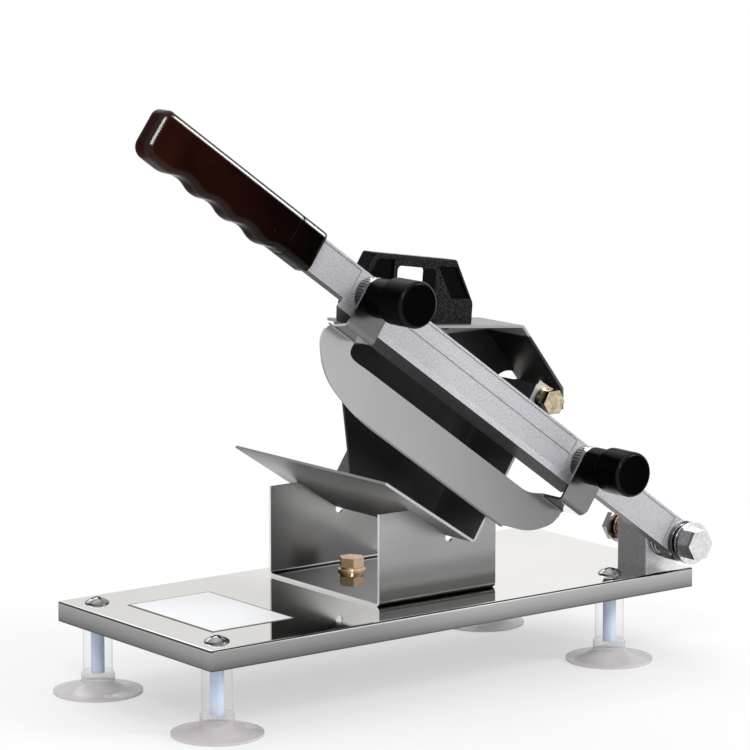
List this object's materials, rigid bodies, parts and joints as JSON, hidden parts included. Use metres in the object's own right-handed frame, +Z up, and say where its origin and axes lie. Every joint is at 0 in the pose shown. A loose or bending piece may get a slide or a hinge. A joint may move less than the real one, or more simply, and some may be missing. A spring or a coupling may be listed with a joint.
{
  "type": "hand lever meat slicer",
  "caption": "Table slicer with a hinged cutting arm, a straight clamped blade, a V trough on a sheet metal base with suction feet, and a sliding, tilting pusher.",
  "frame": {"origin": "centre of the bounding box at rest, at the height of the surface under the feet", "axes": "+X from the grip end to the pivot end, +Y from the arm's side to the trough's rear, +Z up"},
  "size_m": [0.3816, 0.204, 0.3357],
  "materials": {
    "polished_steel": "mirror polished stainless sheet",
    "blade_steel": "ground stainless sheet",
    "cast_alloy": "sand cast, matt, with polished edges",
    "plated_steel": "bright zinc plated",
    "gold_steel": "yellow passivated plating",
    "copper_wire": "copper coloured wire",
    "bush_bronze": "plain turned",
    "grip_plastic": "glossy dark brown",
    "black_plastic": "fine texture, black",
    "clear_rubber": "soft, translucent",
    "core_plastic": "pale"
  },
  "bodies": {
    "base": {"base_tray": "polished_steel", "suction_feet": "clear_rubber", "foot_cores": "core_plastic", "foot_screws": "plated_steel", "trough_bracket": "polished_steel", "bracket_bolts": "gold_steel", "bracket_washers": "gold_steel", "bracket_nuts": "gold_steel", "food_trough": "polished_steel", "guide_rod": "gold_steel", "rod_washers": "gold_steel", "rod_nuts": "gold_steel", "pivot_block": "cast_alloy", "block_screws": "plated_steel", "pivot_bolt": "plated_steel", "pivot_washers": "plated_steel", "pivot_spring_outer": "plated_steel", "pivot_spring_inner": "plated_steel", "pivot_spring_rear": "copper_wire", "pivot_nut": "plated_steel"},
    "arm": {"lever_arm": "cast_alloy", "lever_bush": "bush_bronze", "clamp_studs": "plated_steel", "clamp_washers": "plated_steel", "blade": "blade_steel", "hand_grip": "grip_plastic", "grip_pin": "plated_steel"},
    "knob_lower": {"clamp_knob_lower": "black_plastic"},
    "knob_upper": {"clamp_knob_upper": "black_plastic"},
    "spacer_lower": {"spacer_nut_lower": "plated_steel"},
    "spacer_upper": {"spacer_nut_upper": "plated_steel"},
    "carriage": {"guide_sleeve": "bush_bronze"},
    "pusher": {"pusher_hood": "polished_steel", "grip_pins": "plated_steel", "pusher_handle": "black_plastic", "handle_screws": "plated_steel"}
  },
  "joints": [
    {"name": "arm_pivot", "type": "hinge", "parent": "base", "child": "arm", "pos_m": [0.17857, -0.0558, 0.0682], "axis": [0, 1, 0], "range_deg": [-13, 50]},
    {"name": "knob_lower_spin", "type": "hinge", "parent": "arm", "child": "knob_lower", "pos_m": [0.1031, -0.0858, 0.12203], "axis": [0, 1, 0], "continuous": true},
    {"name": "knob_upper_spin", "type": "hinge", "parent": "arm", "child": "knob_upper", "pos_m": [-0.048, -0.0858, 0.22981], "axis": [0, 1, 0], "continuous": true},
    {"name": "spacer_lower_spin", "type": "hinge", "parent": "arm", "child": "spacer_lower", "pos_m": [0.1031, -0.0628, 0.12203], "axis": [0, 1, 0], "continuous": true},
    {"name": "spacer_upper_spin", "type": "hinge", "parent": "arm", "child": "spacer_upper", "pos_m": [-0.048, -0.0628, 0.22981], "axis": [0, 1, 0], "continuous": true},
    {"name": "pusher_slide", "type": "slide", "parent": "base", "child": "carriage", "axis": [0, 1, 0], "range_m": [0, 0.081]},
    {"name": "pusher_tilt", "type": "hinge", "parent": "carriage", "child": "pusher", "pos_m": [0.08982, -0.0208, 0.15682], "axis": [0, 1, 0], "range_deg": [0, 95]}
  ]
}
